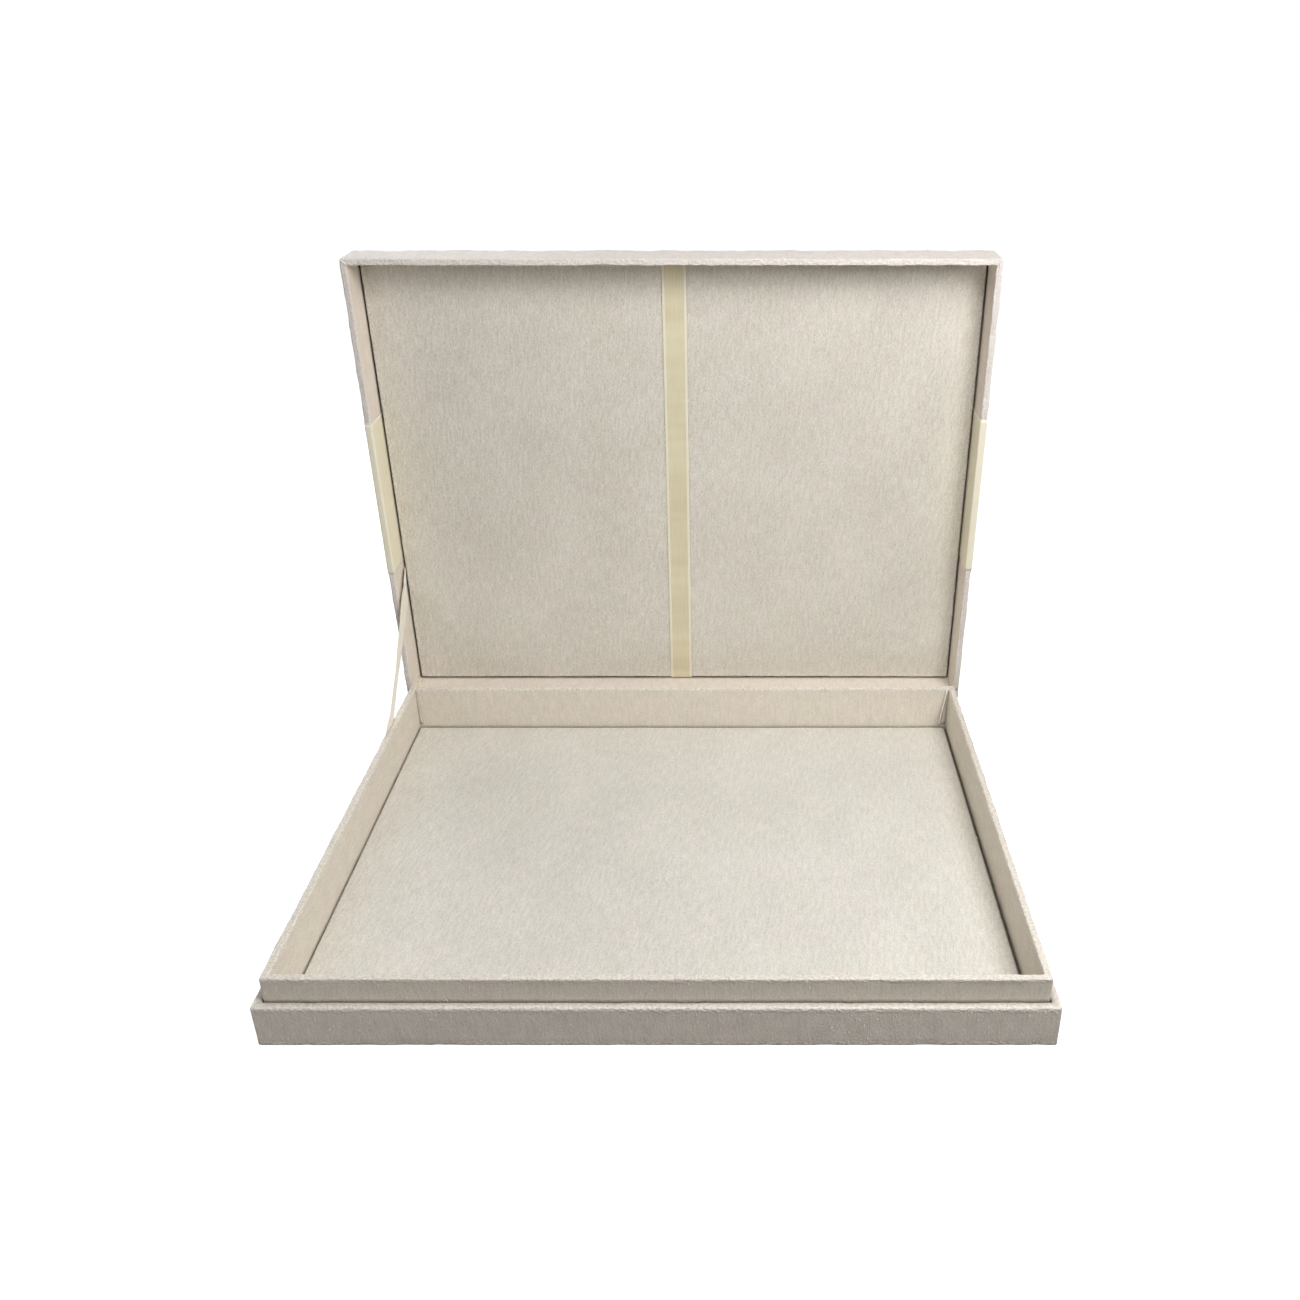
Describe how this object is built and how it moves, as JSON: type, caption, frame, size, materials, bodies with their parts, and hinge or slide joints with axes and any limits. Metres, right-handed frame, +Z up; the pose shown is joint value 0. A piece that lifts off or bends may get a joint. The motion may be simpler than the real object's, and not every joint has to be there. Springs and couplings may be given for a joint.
{
  "type": "hinged presentation box",
  "caption": "Flat rectangular box covered in off-white silk, with a hinged tray lid standing open, a raised collar, padded panels and satin ribbons.",
  "frame": {"origin": "centre of the underside, on the plane the box rests on", "axes": "+X along the hinge, to the right seen from the front; +Y to the back, where the hinge is; +Z up"},
  "size_m": [0.2644, 0.2234, 0.221],
  "materials": {
    "cover_silk": "slubbed off-white silk",
    "base_pad_silk": "slubbed off-white silk",
    "lid_pad_silk": "slubbed off-white silk",
    "satin_ribbon": "cream satin",
    "wadding": "polyester wadding",
    "greyboard": "bare greyboard",
    "card": "bare white card",
    "paper": "matt paper"
  },
  "bodies": {
    "base": {"base_floor_board": "greyboard", "base_front_wall_board": "greyboard", "base_rear_wall_board": "greyboard", "base_left_wall_board": "greyboard", "base_right_wall_board": "greyboard", "base_silk_cover": "cover_silk", "base_underside_sheet": "paper", "collar_front_board": "greyboard", "collar_rear_board": "greyboard", "collar_left_board": "greyboard", "collar_right_board": "greyboard", "collar_silk": "cover_silk", "base_pad_card": "card", "base_pad_wadding": "wadding", "base_pad_silk": "base_pad_silk", "hinge_cloth": "cover_silk", "stay_ribbon": "satin_ribbon"},
    "lid": {"lid_top_board": "greyboard", "lid_front_wall_board": "greyboard", "lid_rear_wall_board": "greyboard", "lid_left_wall_board": "greyboard", "lid_right_wall_board": "greyboard", "lid_silk_cover": "cover_silk", "lid_pad_card": "card", "lid_pad_wadding": "wadding", "lid_pad_silk": "lid_pad_silk", "keeper_ribbon": "satin_ribbon", "band_ribbon": "satin_ribbon"}
  },
  "joints": [
    {"name": "lid_hinge", "type": "hinge", "parent": "base", "child": "lid", "pos_m": [0, 0.102, 0.0165], "axis": [1, 0, 0], "range_deg": [0, 88], "deforming": ["hinge_cloth", "stay_ribbon"]}
  ]
}
